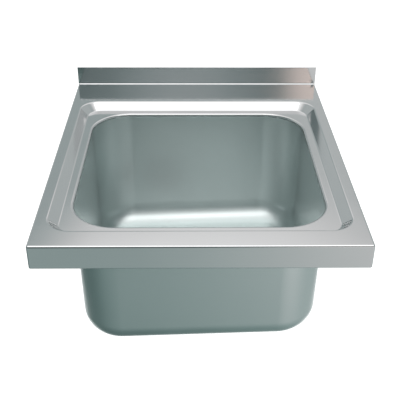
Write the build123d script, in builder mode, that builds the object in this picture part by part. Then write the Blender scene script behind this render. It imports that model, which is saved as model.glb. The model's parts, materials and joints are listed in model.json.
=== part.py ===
from build123d import *
import math
import os

# Sink top with one deep-drawn bowl and a basket waste.
# Millimetres. +X is to the right, +Y to the back and +Z up. The origin is the middle of the four
# stand fixings, in the plane of the aprons' undersides.

# Sheet and bends
sheet = 1.2
edge_bend = 3.0
lip_bend = 2.0
weld_clearance = 1.0

# Folded top
top_width = 500.0
top_depth = 600.0
apron_height = 40.0
lip_width = 12.0

# Upstand along the back, with a closed safe edge
upstand_height = 37.0
upstand_bend = 2.0
hem_gap = 0.3
hem_length = 10.0

# Deck margins round the drip recess, the recess itself and the ledge round the bowl
deck_side_margin = 19.5
deck_front_margin = 40.0
deck_rear_margin = 94.5
recess_depth = 14.0
recess_corner = 37.0
recess_side_run = 13.5
recess_end_run = 14.25
recess_top_bend = 5.0
recess_foot_bend = 4.0
ledge_corner = 27.0
ledge_side = 16.0
ledge_front = 18.05
ledge_rear = 14.95

# Bowl
bowl_corner = 72.0
bowl_depth = 238.8
bowl_foot_bend = 39.0
wall_draft = 1.0
floor_fall = 2.1
rim_bend = 4.0
rim_flange = 6.0

# Level seat pressed into the bowl floor for the waste
drain_from_wall = 121.0
seat_radius = 62.0
seat_drop = 7.5
seat_foot_bend = 1.5
drain_hole_radius = 45.0

# Stiffening channels under the deck
channel_sheet = 1.5
channel_bend = 1.0
front_channel_width = 16.0
front_channel_depth = 18.0
front_channel_flange = 8.0
rear_channel_width = 40.0
rear_channel_depth = 25.0
rear_channel_flange = 12.0
channel_end_margin = 10.0

# Rail that closes the back edge
rail_top_flange = 15.0
rail_foot_flange = 12.0

# Corner brackets and the stand's fixings
bracket_sheet = 2.0
bracket_side = 72.0
bracket_flange = 18.0
bracket_corner_relief = 6.0
bracket_cut = 34.0
bracket_bend = 1.0
fixing_margin = 35.0
thread_radius = 4.0
nut_flats = 13.0
nut_height = 6.5
nut_collar_radius = 5.2
nut_collar_clearance = 0.3

# Sound pad and bonding tag
pad_thickness = 4.0
pad_corner = 15.0
pad_seat_gap = 28.0
pad_wall_gap = 71.0
pad_end_gap = 102.0
tag_length = 25.0
tag_width = 15.0
tag_hole_radius = 2.75
tag_from_front = 450.0

# Waste body: flange, threaded cup and shoulder, with the threaded outlet stub welded under it
waste_wall = 1.5
flange_radius = 56.0
flange_curl = 1.2
flange_curl_clearance = 0.4
flange_seal_thickness = 1.8
flange_seal_radius = 54.0
cup_radius = 43.0
cup_mouth_bend = 3.0
shoulder_drop = 16.0
shoulder_width = 3.0
cup_drop = 48.0
outlet_radius = 23.9
throat_radius = 20.0
outlet_drop = 68.0
ring_clearance = 0.3

# Rings that clamp the waste under the bowl floor
gasket_radius = 55.0
gasket_thickness = 3.0
friction_ring_radius = 53.0
friction_ring_thickness = 0.8
lock_nut_radius = 51.0
lock_nut_height = 10.0
lock_nut_lugs = 8
lock_nut_lug_width = 9.0
lock_nut_lug_reach = 4.0

# Basket that lifts out
basket_clearance = 0.4
basket_rim = 1.5
basket_sheet = 1.0
basket_mouth_radius = 37.5
basket_floor_radius = 31.0
basket_floor_drop = 36.0
hub_radius = 8.0
hub_height = 6.0
hub_bore_radius = 4.6
floor_hole_radius = 2.4
floor_ring_radii = (13.5, 23.0)
floor_ring_counts = (8, 14)
wall_hole_radius = 2.4
wall_hole_rows = (7.0, 14.0)
wall_holes_per_row = 20

# Stopper on its stem
stem_radius = 3.0
stem_clearance = 0.1
stopper_radius = 24.0
stopper_foot_radius = 22.0
stopper_thickness = 5.0
stopper_seal_gap = 0.1
knob_radius = 11.0
knob_neck_radius = 6.0
knob_height = 15.0
knob_under_bend = 1.5
knob_gap = 0.5
stem_in_knob = 8.0
stem_nut_flats = 10.0
stem_nut_height = 4.0
stem_end = 1.0
hub_ring_height = 2.0
hub_ring_clearance = 0.2

# Outlet: washer, slip nut and tailpiece
washer_thickness = 3.0
washer_radius = 23.5
tail_radius = 19.0
tail_wall = 1.2
tail_root_step = 0.5
tail_flange_radius = 23.3
tail_flange_thickness = 1.5
tail_free_length = 24.0
slip_nut_radius = 31.0
slip_nut_sides = 8
slip_nut_overlap = 14.0
slip_nut_lip = 2.5
slip_nut_clearance = 0.8

# Places worked out from the sizes above
half_width = top_width / 2
half_depth = top_depth / 2
front_y = -half_depth
back_y = half_depth
deck_z = apron_height
deck_under_z = deck_z - sheet
inner_x = half_width - sheet
inner_front_y = front_y + sheet
hem_thickness = 2 * sheet + hem_gap
upstand_front_y = back_y - hem_thickness
skin_back_y = upstand_front_y + sheet
deck_back_y = upstand_front_y - upstand_bend
upstand_top_z = deck_z + upstand_height

ledge_z = deck_z - recess_depth
ledge_under_z = ledge_z - sheet
recess_width = top_width - 2 * deck_side_margin
recess_length = top_depth - deck_front_margin - deck_rear_margin
recess_y = front_y + deck_front_margin + recess_length / 2
recess_slope = math.atan2(recess_depth, recess_side_run)
recess_grow = sheet * math.tan(recess_slope / 2)
ledge_width = recess_width - 2 * recess_side_run
ledge_length = recess_length - 2 * recess_end_run

bowl_width = ledge_width - 2 * ledge_side
bowl_length = ledge_length - ledge_front - ledge_rear
bowl_y = recess_y - ledge_length / 2 + ledge_front + bowl_length / 2
bowl_top_z = ledge_z - rim_flange
floor_z = ledge_z - bowl_depth
fall_angle = math.radians(floor_fall)
floor_normal = (-math.sin(fall_angle), 0, math.cos(fall_angle))

drain_x = -bowl_width / 2 + drain_from_wall
drain_floor_z = floor_z + drain_x * math.tan(fall_angle)
seat_z = drain_floor_z - seat_drop
seat_under_z = seat_z - sheet

rail_inner_y = skin_back_y - channel_sheet
fixing_x = half_width - fixing_margin
fixing_y = half_depth - fixing_margin

cup_bore = cup_radius - waste_wall
shoulder_bore = cup_bore - shoulder_width
flange_under_z = seat_z + flange_seal_thickness
flange_top_z = flange_under_z + waste_wall
shoulder_z = seat_z - shoulder_drop
cup_floor_z = seat_z - cup_drop
stub_top_z = cup_floor_z - waste_wall
outlet_end_z = seat_z - outlet_drop
ring_bore = cup_radius + ring_clearance
gasket_z = seat_under_z - gasket_thickness
friction_ring_z = gasket_z - friction_ring_thickness
lock_nut_z = friction_ring_z - lock_nut_height

basket_rim_radius = cup_bore - basket_clearance
basket_rim_top_z = shoulder_z + basket_rim
basket_floor_z = seat_z - basket_floor_drop
hub_top_z = basket_floor_z + hub_height
stem_bore = stem_radius + stem_clearance
stopper_z = cup_floor_z + stopper_seal_gap
stopper_top_z = stopper_z + stopper_thickness
knob_z = hub_top_z + knob_gap
stem_nut_z = stopper_z - stem_nut_height
stem_foot_z = stem_nut_z - stem_end

washer_z = outlet_end_z - washer_thickness
tail_flange_z = washer_z - tail_flange_thickness
slip_nut_z = tail_flange_z - slip_nut_lip
slip_nut_top_z = outlet_end_z + slip_nut_overlap
slip_nut_bore = outlet_radius + ring_clearance
tail_end_z = slip_nut_z - tail_free_length

drain_plane = Plane((drain_x, bowl_y, 0))
drain_section = Plane((drain_x, bowl_y, 0), x_dir=(1, 0, 0), z_dir=(0, -1, 0))
drain_axis = Axis((drain_x, bowl_y, 0), (0, 0, 1))

# How closely an edge's place agrees with the one that is looked for
match = 0.1


def save(part, name):
    """Label a finished piece and write its file."""
    part.label = name
    export_step(part, "parts/" + name + ".step")


def outline_edges(shape, width, length, middle_y, height):
    """Level edges of a rounded-rectangle outline of one size, at one height."""
    found = ShapeList()
    for edge in shape.edges():
        box = edge.bounding_box()
        if box.size.Z > match or abs(box.min.Z - height) > match:
            continue
        reach_x = max(abs(box.min.X), abs(box.max.X))
        reach_y = max(abs(box.min.Y - middle_y), abs(box.max.Y - middle_y))
        on_side = abs(reach_x - width / 2) < match and reach_y < length / 2 + match
        on_end = abs(reach_y - length / 2) < match and reach_x < width / 2 + match
        if on_side or on_end:
            found.append(edge)
    return found


def round_edges(shape, radius):
    """Closed edges that go once round the waste's axis at one radius, from the lowest up."""
    found = ShapeList()
    for edge in shape.edges():
        box = edge.bounding_box()
        reach = abs(box.max.X - drain_x - radius) < match and abs(drain_x - box.min.X - radius) < match
        if reach and abs(box.size.Y - 2 * radius) < match:
            found.append(edge)
    return found.sort_by(Axis.Z)


def recess_form(top, foot, grow, foot_bend):
    """Tapered rounded-rectangle form of the drip recess, closed at its foot by a bend."""
    with BuildPart() as form:
        with BuildSketch(Plane.XY.offset(top)):
            with Locations((0, recess_y)):
                RectangleRounded(recess_width + 2 * grow, recess_length + 2 * grow, recess_corner + grow)
        with BuildSketch(Plane.XY.offset(foot)):
            with Locations((0, recess_y)):
                RectangleRounded(ledge_width + 2 * grow, ledge_length + 2 * grow, ledge_corner + grow)
        loft(ruled=True)
        fillet(form.faces().sort_by(Axis.Z)[0].edges(), foot_bend)
    return form.part


def bowl_form(grow):
    """Drafted bowl form with a falling floor, grown outwards from the bowl's inside."""
    floor = Plane((0, bowl_y, floor_z), z_dir=floor_normal).offset(-grow)
    with BuildPart() as form:
        with BuildSketch(Plane.XY.offset(bowl_top_z)):
            with Locations((0, bowl_y)):
                RectangleRounded(bowl_width + 2 * grow, bowl_length + 2 * grow, bowl_corner + grow)
        extrude(amount=-(bowl_depth + seat_radius), taper=wall_draft)
        split(bisect_by=floor, keep=Keep.TOP)
        fillet(form.faces().sort_by(Axis.Z)[0].edges(), bowl_foot_bend + grow)
    return form.part


def ring_piece(outer, bore, low, high):
    """Plain ring round the waste's axis."""
    with BuildPart() as ring:
        with BuildSketch(drain_plane.offset(low)):
            Circle(outer)
            Circle(bore, mode=Mode.SUBTRACT)
        extrude(amount=high - low)
    return ring.part


def channel_piece(width, depth, flange, middle_y):
    """Hat channel along X whose flanges lie on the underside of the deck."""
    half = width / 2
    start_x = -inner_x + channel_end_margin
    section_plane = Plane((start_x, middle_y, deck_under_z), x_dir=(0, 1, 0), z_dir=(1, 0, 0))
    with BuildPart() as channel:
        with BuildSketch(section_plane) as section:
            with BuildLine():
                Polyline(
                    (-half - flange, 0),
                    (-half + channel_sheet, 0),
                    (-half + channel_sheet, -depth + channel_sheet),
                    (half - channel_sheet, -depth + channel_sheet),
                    (half - channel_sheet, 0),
                    (half + flange, 0),
                    (half + flange, -channel_sheet),
                    (half, -channel_sheet),
                    (half, -depth),
                    (-half, -depth),
                    (-half, -channel_sheet),
                    (-half - flange, -channel_sheet),
                    close=True,
                )
            make_face()
            fillet(section.vertices().group_by(Axis.Y)[0], channel_bend + channel_sheet)
            fillet(section.vertices().group_by(Axis.Y)[-1].sort_by(Axis.X)[1:-1], channel_bend)
        extrude(amount=-2 * start_x)
    return channel.part


def upper_edges(pan):
    """Top edges along a pan's front and sides, and its upright front corners."""
    top = pan.edges().group_by(Axis.Z)[-1].sort_by(Axis.Y)[:-1]
    return top + pan.edges().filter_by(Axis.Z).group_by(Axis.Y)[0]


def lower_edges(pan):
    """Bottom edges along a pan's front and sides."""
    return pan.edges().group_by(Axis.Z)[0].sort_by(Axis.Y)[:-1]


def corner_bracket(side_x, side_y, face_y):
    """Corner plate with two upturned flanges and the hole that takes a weld nut's collar."""
    corner = (-inner_x, -face_y)
    hole_x = inner_x - fixing_x
    hole_y = face_y - fixing_y
    flange_run = bracket_side - bracket_corner_relief
    flange_middle = bracket_corner_relief + flange_run / 2
    with BuildPart() as bracket:
        with BuildSketch(Plane((corner[0], corner[1], 0))):
            with BuildLine():
                Polyline(
                    (bracket_corner_relief, bracket_corner_relief),
                    (bracket_corner_relief, 0),
                    (bracket_side, 0),
                    (bracket_side, bracket_side - bracket_cut),
                    (bracket_side - bracket_cut, bracket_side),
                    (0, bracket_side),
                    (0, bracket_corner_relief),
                    close=True,
                )
            make_face()
            with Locations((hole_x, hole_y)):
                Circle(nut_collar_radius + nut_collar_clearance, mode=Mode.SUBTRACT)
        extrude(amount=bracket_sheet)
        with BuildSketch(Plane((corner[0], corner[1], 0))):
            with Locations((flange_middle, bracket_sheet / 2)):
                Rectangle(flange_run, bracket_sheet)
            with Locations((bracket_sheet / 2, flange_middle)):
                Rectangle(bracket_sheet, flange_run)
        extrude(amount=bracket_flange)
        outer_edges = bracket.edges().group_by(Axis.Z)[0].filter_by(Axis.X).group_by(Axis.Y)[:1][0]
        outer_edges += bracket.edges().group_by(Axis.Z)[0].filter_by(Axis.Y).group_by(Axis.X)[:1][0]
        fillet(outer_edges, bracket_bend + bracket_sheet)
        if side_x > 0:
            mirror(about=Plane.YZ, mode=Mode.REPLACE)
        if side_y > 0:
            mirror(about=Plane.XZ, mode=Mode.REPLACE)
    return bracket.part


os.makedirs("parts", exist_ok=True)

# Top sheet: pan, recess, bowl rim, lips and upstand
recess_skin = recess_form(deck_under_z, ledge_under_z, recess_grow, recess_foot_bend + sheet)
recess_space = recess_form(deck_z, ledge_z, 0, recess_foot_bend)
pan_length = skin_back_y - front_y
pan_middle_y = (front_y + skin_back_y) / 2
bracket_reach = bracket_side + weld_clearance

with BuildPart() as pan_space:
    with BuildSketch(Plane.XY.offset(sheet)):
        with Locations((0, inner_front_y + top_depth / 2)):
            Rectangle(2 * inner_x, top_depth)
    extrude(amount=deck_under_z - sheet)
    fillet(upper_edges(pan_space.part), edge_bend - sheet)
    fillet(lower_edges(pan_space.part), lip_bend - sheet)

with BuildPart() as top_sheet:
    with BuildSketch(Plane.XY):
        with Locations((0, pan_middle_y)):
            Rectangle(top_width, pan_length)
    extrude(amount=apron_height)
    fillet(upper_edges(top_sheet.part), edge_bend)
    fillet(lower_edges(top_sheet.part), lip_bend)
    add(pan_space.part, mode=Mode.SUBTRACT)

    # Foot opening between the lips, and the four corners left free for the brackets
    opening_front_y = front_y + lip_width
    with BuildSketch(Plane.XY.offset(-sheet)):
        with Locations((0, opening_front_y + top_depth / 2)):
            Rectangle(top_width - 2 * lip_width, top_depth)
    extrude(amount=2 * sheet, mode=Mode.SUBTRACT)
    with BuildSketch(Plane.XY.offset(-sheet)):
        for side in (-1, 1):
            with Locations((side * (inner_x - bracket_reach / 2), inner_front_y + bracket_reach / 2)):
                Rectangle(bracket_reach, bracket_reach)
            with Locations((side * (inner_x - bracket_reach / 2), rail_inner_y)):
                Rectangle(bracket_reach, 2 * bracket_reach)
    extrude(amount=sheet + lip_bend, mode=Mode.SUBTRACT)

    # Space behind the deck, where the sheet bends up
    with BuildSketch(Plane.XY.offset(deck_z - edge_bend)):
        with Locations((0, deck_back_y + top_depth / 2)):
            Rectangle(2 * top_width, top_depth)
    extrude(amount=2 * edge_bend, mode=Mode.SUBTRACT)

    # Recess
    add(recess_skin)
    skin_edges = outline_edges(
        top_sheet.part, recess_width + 2 * recess_grow, recess_length + 2 * recess_grow, recess_y, deck_under_z
    )
    fillet(skin_edges, recess_top_bend - sheet)
    add(recess_space, mode=Mode.SUBTRACT)
    top_edges = outline_edges(top_sheet.part, recess_width, recess_length, recess_y, deck_z)
    fillet(top_edges, recess_top_bend)

    # Rim that turns down to the bowl
    with BuildSketch(Plane.XY.offset(bowl_top_z)):
        with Locations((0, bowl_y)):
            RectangleRounded(bowl_width + 2 * sheet, bowl_length + 2 * sheet, bowl_corner + sheet)
    extrude(amount=ledge_z - bowl_top_z)
    with BuildSketch(Plane.XY.offset(bowl_top_z)):
        with Locations((0, bowl_y)):
            RectangleRounded(bowl_width, bowl_length, bowl_corner)
    extrude(amount=ledge_z - bowl_top_z, mode=Mode.SUBTRACT)
    rim_edges = outline_edges(top_sheet.part, bowl_width, bowl_length, bowl_y, ledge_z)
    fillet(rim_edges, rim_bend)
    under_edges = outline_edges(
        top_sheet.part, bowl_width + 2 * sheet, bowl_length + 2 * sheet, bowl_y, ledge_under_z
    )
    fillet(under_edges, rim_bend - sheet)

    # Upstand: bend at the foot, wall, and the sheet folded back on itself at the top
    bend_top_z = deck_z + upstand_bend
    hem_radius = hem_thickness / 2
    hem_z = upstand_top_z - hem_radius
    outer_bend = upstand_bend + sheet
    arc_step = math.sqrt(0.5)
    with BuildSketch(Plane.YZ.offset(-half_width)):
        with BuildLine():
            Line((deck_back_y, deck_z), (deck_back_y, deck_under_z))
            ThreePointArc(
                (deck_back_y, deck_under_z),
                (deck_back_y + outer_bend * arc_step, bend_top_z - outer_bend * arc_step),
                (skin_back_y, bend_top_z),
            )
            Line((skin_back_y, bend_top_z), (skin_back_y, hem_z))
            ThreePointArc(
                (skin_back_y, hem_z),
                (skin_back_y + hem_gap / 2, hem_z + hem_gap / 2),
                (back_y - sheet, hem_z),
            )
            Line((back_y - sheet, hem_z), (back_y - sheet, hem_z - hem_length))
            Line((back_y - sheet, hem_z - hem_length), (back_y, hem_z - hem_length))
            Line((back_y, hem_z - hem_length), (back_y, hem_z))
            ThreePointArc((back_y, hem_z), (back_y - hem_radius, upstand_top_z), (upstand_front_y, hem_z))
            Line((upstand_front_y, hem_z), (upstand_front_y, bend_top_z))
            ThreePointArc(
                (upstand_front_y, bend_top_z),
                (deck_back_y + upstand_bend * arc_step, bend_top_z - upstand_bend * arc_step),
                (deck_back_y, deck_z),
            )
        make_face()
    extrude(amount=top_width)
save(top_sheet.part, "top_sheet")

# Bowl, with the waste's level seat pressed into its floor
with BuildPart() as bowl:
    add(bowl_form(sheet))
    with BuildSketch(drain_plane.offset(seat_under_z)):
        Circle(seat_radius + sheet)
    extrude(amount=floor_z - seat_under_z)
    add(bowl_form(0), mode=Mode.SUBTRACT)
    with BuildSketch(drain_plane.offset(seat_z)):
        Circle(seat_radius)
    extrude(amount=floor_z - seat_z, mode=Mode.SUBTRACT)
    with BuildSketch(drain_plane.offset(seat_under_z)):
        Circle(drain_hole_radius)
    extrude(amount=sheet, mode=Mode.SUBTRACT)
    fillet(round_edges(bowl.part, seat_radius)[0], seat_foot_bend)
    fillet(round_edges(bowl.part, seat_radius)[-1], seat_foot_bend + sheet)
    fillet(round_edges(bowl.part, seat_radius + sheet)[0], seat_foot_bend + sheet)
    fillet(round_edges(bowl.part, seat_radius + sheet)[-1], seat_foot_bend)
save(bowl.part, "bowl")

# Stiffening channels
front_channel_y = (inner_front_y + front_y + deck_front_margin) / 2
rear_margin_y = (recess_y + recess_length / 2 + deck_back_y) / 2
front_stiffener = channel_piece(front_channel_width, front_channel_depth, front_channel_flange, front_channel_y)
save(front_stiffener, "front_stiffener")
rear_stiffener = channel_piece(rear_channel_width, rear_channel_depth, rear_channel_flange, rear_margin_y)
save(rear_stiffener, "rear_stiffener")

# Rail that closes the back edge
rail_half = inner_x - (edge_bend - sheet)
rail_plane = Plane((-rail_half, skin_back_y, 0), x_dir=(0, 1, 0), z_dir=(1, 0, 0))
with BuildPart() as rear_rail:
    with BuildSketch(rail_plane) as rail_section:
        with BuildLine():
            Polyline(
                (0, 0),
                (0, deck_under_z),
                (-rail_top_flange, deck_under_z),
                (-rail_top_flange, deck_under_z - channel_sheet),
                (-channel_sheet, deck_under_z - channel_sheet),
                (-channel_sheet, channel_sheet),
                (-rail_foot_flange, channel_sheet),
                (-rail_foot_flange, 0),
                close=True,
            )
        make_face()
        fillet(rail_section.vertices().group_by(Axis.X)[-1], channel_bend + channel_sheet)
        fillet(rail_section.vertices().group_by(Axis.X)[-2], channel_bend)
    extrude(amount=2 * rail_half)
    with BuildSketch(Plane.XY):
        for side in (-1, 1):
            with Locations((side * (inner_x - bracket_reach / 2), rail_inner_y - rail_foot_flange / 2)):
                Rectangle(bracket_reach, rail_foot_flange)
    extrude(amount=channel_sheet + channel_bend, mode=Mode.SUBTRACT)
save(rear_rail.part, "rear_rail")

# Corner brackets and their weld nuts
front_face_y = -inner_front_y
save(corner_bracket(-1, -1, front_face_y), "corner_bracket_front_left")
save(corner_bracket(1, -1, front_face_y), "corner_bracket_front_right")
save(corner_bracket(-1, 1, rail_inner_y), "corner_bracket_rear_left")
save(corner_bracket(1, 1, rail_inner_y), "corner_bracket_rear_right")

with BuildPart() as bracket_nuts:
    with BuildSketch(Plane.XY.offset(bracket_sheet)):
        with GridLocations(2 * fixing_x, 2 * fixing_y, 2, 2):
            RegularPolygon(nut_flats / 2, 6, major_radius=False)
    extrude(amount=nut_height)
    with BuildSketch(Plane.XY):
        with GridLocations(2 * fixing_x, 2 * fixing_y, 2, 2):
            Circle(nut_collar_radius)
    extrude(amount=bracket_sheet)
    with BuildSketch(Plane.XY):
        with GridLocations(2 * fixing_x, 2 * fixing_y, 2, 2):
            Circle(thread_radius)
    extrude(amount=bracket_sheet + nut_height, mode=Mode.SUBTRACT)
save(bracket_nuts.part, "bracket_nuts")

# Sound pad under the bowl floor
pad_left = drain_x + seat_radius + pad_seat_gap
pad_right = bowl_width / 2 - pad_wall_gap
pad_length = bowl_length - 2 * pad_end_gap
pad_plane = Plane((0, bowl_y, floor_z), x_dir=(math.cos(fall_angle), 0, math.sin(fall_angle)), z_dir=floor_normal)
with BuildPart() as sound_pad:
    with BuildSketch(pad_plane.offset(-sheet)):
        with Locations(((pad_left + pad_right) / 2, 0)):
            RectangleRounded(pad_right - pad_left, pad_length, pad_corner)
    extrude(amount=-pad_thickness)
save(sound_pad.part, "sound_pad")

# Bonding tag on the right-hand lip
tag_inner_x = half_width - lip_bend - weld_clearance - tag_length
with BuildPart() as earth_tag:
    with BuildSketch(Plane.XY.offset(sheet)):
        with Locations((tag_inner_x + tag_length / 2, front_y + tag_from_front)):
            Rectangle(tag_length, tag_width)
        with Locations((tag_inner_x + tag_width / 2, front_y + tag_from_front)):
            Circle(tag_hole_radius, mode=Mode.SUBTRACT)
    extrude(amount=sheet)
    fillet(earth_tag.edges().filter_by(Axis.Z).group_by(Axis.X)[0], tag_width / 3)
save(earth_tag.part, "earth_tag")

# Waste body
with BuildPart() as strainer_body:
    with BuildSketch(drain_section) as body_section:
        with BuildLine():
            Polyline(
                (cup_radius, flange_under_z),
                (flange_radius - flange_curl, flange_under_z),
                (flange_radius - flange_curl, seat_z + flange_curl_clearance),
                (flange_radius, seat_z + flange_curl_clearance),
                (flange_radius, flange_top_z),
                (cup_bore, flange_top_z),
                (cup_bore, shoulder_z),
                (shoulder_bore, shoulder_z),
                (shoulder_bore, cup_floor_z),
                (throat_radius, cup_floor_z),
                (throat_radius, stub_top_z),
                (shoulder_bore + waste_wall, stub_top_z),
                (shoulder_bore + waste_wall, shoulder_z - waste_wall),
                (cup_radius, shoulder_z - waste_wall),
                close=True,
            )
        make_face()
        mouth = body_section.vertices().sort_by_distance((cup_bore, flange_top_z))[0]
        fillet(mouth, cup_mouth_bend)
        neck = body_section.vertices().sort_by_distance((cup_radius, flange_under_z))[0]
        fillet(neck, cup_mouth_bend - waste_wall)
        foot = body_section.vertices().sort_by_distance((shoulder_bore, cup_floor_z))[0]
        fillet(foot, cup_mouth_bend)
        heel = (shoulder_bore + waste_wall, stub_top_z)
        fillet(body_section.vertices().sort_by_distance(heel)[0], cup_mouth_bend + waste_wall)
        edge = body_section.vertices().sort_by_distance((flange_radius, flange_top_z))[0]
        fillet(edge, flange_curl)
    revolve(axis=drain_axis)
save(strainer_body.part, "strainer_body")
save(ring_piece(outlet_radius, throat_radius, outlet_end_z, stub_top_z), "outlet_stub")

# Seal, gasket, friction ring and lock nut
save(ring_piece(flange_seal_radius, drain_hole_radius, seat_z, flange_under_z), "flange_seal")
save(ring_piece(gasket_radius, ring_bore, gasket_z, seat_under_z), "bowl_gasket")
save(ring_piece(friction_ring_radius, ring_bore, friction_ring_z, gasket_z), "friction_ring")

with BuildPart() as lock_nut:
    with BuildSketch(drain_plane.offset(lock_nut_z)):
        Circle(lock_nut_radius)
        with PolarLocations(lock_nut_radius, lock_nut_lugs):
            Rectangle(2 * lock_nut_lug_reach, lock_nut_lug_width)
        Circle(ring_bore, mode=Mode.SUBTRACT)
    extrude(amount=lock_nut_height)
save(lock_nut.part, "lock_nut")

# Basket
basket_wall_radius = basket_floor_radius - basket_sheet
guide_radius = stem_radius + hub_ring_clearance + stem_clearance
with BuildPart() as basket:
    with BuildSketch(drain_section):
        with BuildLine():
            Polyline(
                (basket_rim_radius, shoulder_z),
                (basket_mouth_radius, shoulder_z),
                (basket_floor_radius, basket_floor_z),
                (guide_radius, basket_floor_z),
                (guide_radius, basket_floor_z + basket_sheet),
                (hub_bore_radius, basket_floor_z + basket_sheet),
                (hub_bore_radius, hub_top_z),
                (hub_radius, hub_top_z),
                (hub_radius, basket_floor_z + basket_sheet),
                (basket_wall_radius, basket_floor_z + basket_sheet),
                (basket_mouth_radius - basket_sheet, basket_rim_top_z),
                (basket_rim_radius, basket_rim_top_z),
                close=True,
            )
        make_face()
    revolve(axis=drain_axis)
    with BuildSketch(drain_plane.offset(basket_floor_z)):
        for ring_radius, hole_count in zip(floor_ring_radii, floor_ring_counts):
            with PolarLocations(ring_radius, hole_count):
                Circle(floor_hole_radius)
    extrude(amount=basket_sheet, mode=Mode.SUBTRACT)
    drill_planes = []
    for row, rise in enumerate(wall_hole_rows):
        for index in range(wall_holes_per_row):
            turn = 2 * math.pi * (index + row / 2) / wall_holes_per_row
            out = Vector(math.cos(turn), math.sin(turn), 0)
            start = Vector(drain_x, bowl_y, basket_floor_z + rise) + out * hub_radius * 2
            drill_planes.append(Plane(start, z_dir=out))
    with BuildSketch(*drill_planes):
        Circle(wall_hole_radius)
    extrude(amount=cup_radius, mode=Mode.SUBTRACT)
save(basket.part, "basket")

ring_foot_z = basket_floor_z + basket_sheet
ring_outer = hub_bore_radius - stem_clearance
ring_inner = stem_radius + hub_ring_clearance
save(ring_piece(ring_outer, ring_inner, ring_foot_z, ring_foot_z + hub_ring_height), "stem_ring")

# Stopper, stem, knob and nut
with BuildPart() as stopper_seal:
    with BuildSketch(drain_section):
        with BuildLine():
            Polyline(
                (stem_bore, stopper_z),
                (stopper_foot_radius, stopper_z),
                (stopper_radius, stopper_top_z - stopper_thickness / 3),
                (stopper_radius, stopper_top_z),
                (stem_bore, stopper_top_z),
                close=True,
            )
        make_face()
    revolve(axis=drain_axis)
save(stopper_seal.part, "stopper_seal")

with BuildPart() as stopper_post:
    with BuildSketch(drain_plane.offset(stem_foot_z)):
        Circle(stem_radius)
    extrude(amount=knob_z + stem_in_knob - stem_foot_z)
save(stopper_post.part, "stopper_post")

bore_end_z = knob_z + stem_in_knob + stem_clearance
knob_waist_z = knob_z + knob_height / 3
knob_brim_z = knob_z + knob_height / 2
knob_top_z = knob_z + knob_height
with BuildPart() as stopper_knob:
    with BuildSketch(drain_section) as knob_section:
        with BuildLine():
            Polyline(
                (stem_bore, knob_z),
                (knob_neck_radius, knob_z),
                (knob_neck_radius, knob_waist_z),
                (knob_radius, knob_brim_z),
                (knob_radius, knob_top_z),
                (0, knob_top_z),
                (0, bore_end_z),
                (stem_bore, bore_end_z),
                close=True,
            )
        make_face()
        brim = knob_section.vertices().sort_by_distance((knob_radius, knob_top_z))[0]
        fillet(brim, knob_height / 4)
        under = knob_section.vertices().sort_by_distance((knob_radius, knob_brim_z))[0]
        fillet(under, knob_under_bend)
    revolve(axis=drain_axis)
save(stopper_knob.part, "stopper_knob")

with BuildPart() as stopper_nut:
    with BuildSketch(drain_plane.offset(stem_nut_z)):
        RegularPolygon(stem_nut_flats / 2, 6, major_radius=False)
        Circle(stem_bore, mode=Mode.SUBTRACT)
    extrude(amount=stem_nut_height)
save(stopper_nut.part, "stopper_nut")

# Outlet washer, slip nut and tailpiece
save(ring_piece(washer_radius, throat_radius, washer_z, outlet_end_z), "tailpiece_washer")

with BuildPart() as coupling_nut:
    with BuildSketch(drain_plane.offset(slip_nut_z)):
        RegularPolygon(slip_nut_radius, slip_nut_sides)
    extrude(amount=slip_nut_top_z - slip_nut_z)
    with BuildSketch(drain_plane.offset(slip_nut_z)):
        Circle(tail_radius + slip_nut_clearance)
    extrude(amount=slip_nut_lip, mode=Mode.SUBTRACT)
    with BuildSketch(drain_plane.offset(tail_flange_z)):
        Circle(slip_nut_bore)
    extrude(amount=slip_nut_top_z - tail_flange_z, mode=Mode.SUBTRACT)
save(coupling_nut.part, "coupling_nut")

with BuildPart() as tailpiece:
    with BuildSketch(drain_plane.offset(tail_end_z)):
        Circle(tail_radius)
    extrude(amount=washer_z - tail_end_z)
    with BuildSketch(drain_plane.offset(tail_flange_z)):
        Circle(tail_flange_radius)
    extrude(amount=tail_flange_thickness)
    with BuildSketch(drain_plane.offset(slip_nut_z)):
        Circle(tail_radius + tail_root_step)
    extrude(amount=slip_nut_lip)
    with BuildSketch(drain_plane.offset(tail_end_z)):
        Circle(tail_radius - tail_wall)
    extrude(amount=washer_z - tail_end_z, mode=Mode.SUBTRACT)
save(tailpiece.part, "tailpiece")
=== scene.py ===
"""Looks and view of a stainless sink top with one deep bowl, a rear upstand and a basket waste.

Metres. +X is to the right, +Y to the back and +Z up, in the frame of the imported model.
"""
import json
import logging
import math
from dataclasses import dataclass, field
from enum import Enum

import bpy
from bpy.types import ID, Material, Node, NodeSocket, NodeTree, Object
from mathutils import Matrix, Vector


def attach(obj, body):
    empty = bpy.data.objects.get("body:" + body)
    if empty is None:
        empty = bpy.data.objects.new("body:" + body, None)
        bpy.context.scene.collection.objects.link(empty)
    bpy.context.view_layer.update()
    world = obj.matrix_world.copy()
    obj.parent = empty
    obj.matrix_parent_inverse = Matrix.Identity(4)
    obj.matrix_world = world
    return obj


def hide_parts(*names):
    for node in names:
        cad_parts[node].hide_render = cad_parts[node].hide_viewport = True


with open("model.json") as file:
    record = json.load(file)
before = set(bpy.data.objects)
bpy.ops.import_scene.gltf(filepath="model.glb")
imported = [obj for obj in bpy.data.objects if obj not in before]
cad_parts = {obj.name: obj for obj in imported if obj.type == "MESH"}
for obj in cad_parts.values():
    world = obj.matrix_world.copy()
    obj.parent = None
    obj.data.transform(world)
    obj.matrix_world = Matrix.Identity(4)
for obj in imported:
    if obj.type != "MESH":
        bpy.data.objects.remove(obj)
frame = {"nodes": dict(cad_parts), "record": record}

log = logging.getLogger("sink_top")
MM = 0.001
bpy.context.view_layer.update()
Triple = tuple[float, float, float]
Span = tuple[float, float]
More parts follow.
